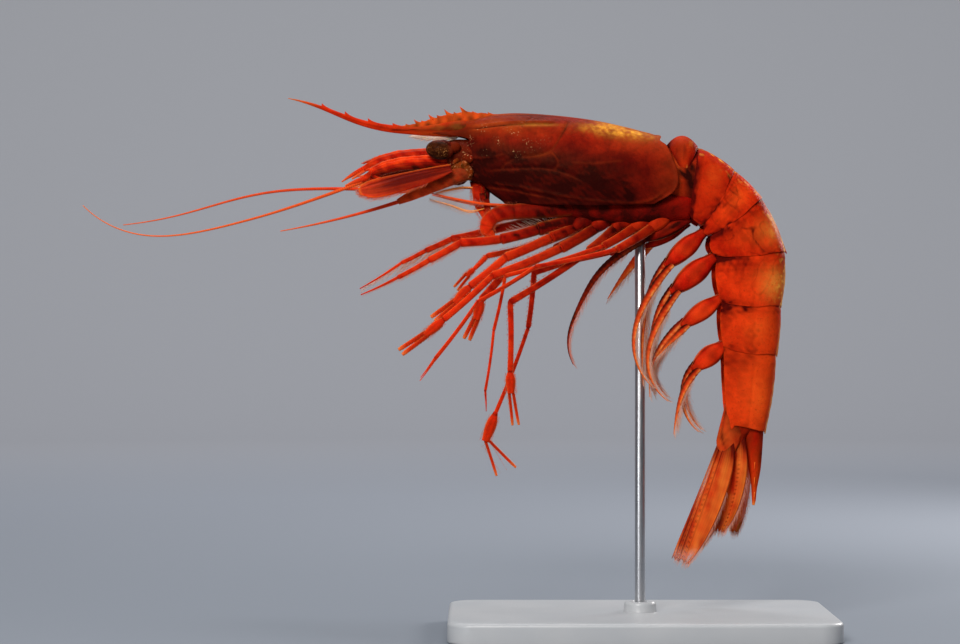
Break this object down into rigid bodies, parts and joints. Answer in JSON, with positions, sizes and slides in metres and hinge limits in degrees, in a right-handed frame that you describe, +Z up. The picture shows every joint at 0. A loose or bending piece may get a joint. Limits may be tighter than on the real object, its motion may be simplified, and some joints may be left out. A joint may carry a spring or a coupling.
{
  "type": "giant red shrimp model",
  "caption": "Life-size still model of a giant red shrimp with curled abdomen and hanging legs, held by a rod on a flat stand.",
  "frame": {"origin": "centre of the stand base's underside", "axes": "-X is the way the shrimp faces, -Y its left side, +Z up"},
  "size_m": [0.1793, 0.054, 0.1283],
  "materials": {
    "stand_base": "satin off-white",
    "stand_rod": "brushed",
    "carapace": "wet, dark maroon with orange and gold patches",
    "shell": "wet, red with orange edges",
    "limb": "wet, red",
    "fin": "thin, slightly see-through",
    "feeler": "wet, orange red",
    "eye": "glossy brown black"
  },
  "bodies": {
    "root": {"abdomen_1": "shell", "abdomen_2": "shell", "abdomen_3": "shell", "abdomen_4": "shell", "abdomen_5": "shell", "abdomen_6": "shell", "antenna_flagellum_left": "feeler", "antenna_flagellum_right": "feeler", "antenna_left": "limb", "antenna_right": "limb", "antenna_scale_left": "fin", "antenna_scale_right": "fin", "antennule_flagellum_left": "feeler", "antennule_left": "limb", "antennule_right": "limb", "carapace": "carapace", "eye_left": "eye", "eye_right": "eye", "head": "carapace", "leg_1_left": "limb", "leg_1_right": "limb", "leg_2_left": "limb", "leg_2_right": "limb", "leg_3_left": "limb", "leg_3_right": "limb", "leg_4_left": "limb", "leg_4_right": "limb", "leg_5_left": "limb", "leg_5_right": "limb", "maxilliped_second_left": "limb", "maxilliped_second_right": "limb", "maxilliped_third_left": "limb", "maxilliped_third_right": "limb", "mouthparts": "limb", "pincer_1_left": "limb", "pincer_1_right": "limb", "pincer_2_left": "limb", "pincer_2_right": "limb", "pincer_3_left": "limb", "pincer_3_right": "limb", "rostrum": "shell", "stand_base": "stand_base", "stand_rod": "stand_rod", "swimmer_1_left": "limb", "swimmer_1_right": "limb", "swimmer_2_left": "limb", "swimmer_2_right": "limb", "swimmer_3_left": "limb", "swimmer_3_right": "limb", "swimmer_4_left": "limb", "swimmer_4_right": "limb", "swimmer_5_left": "limb", "swimmer_5_right": "limb", "tail_inner_left": "fin", "tail_inner_right": "fin", "tail_outer_left": "fin", "tail_outer_right": "fin", "telson": "shell", "thorax": "limb"}
  },
  "joints": []
}
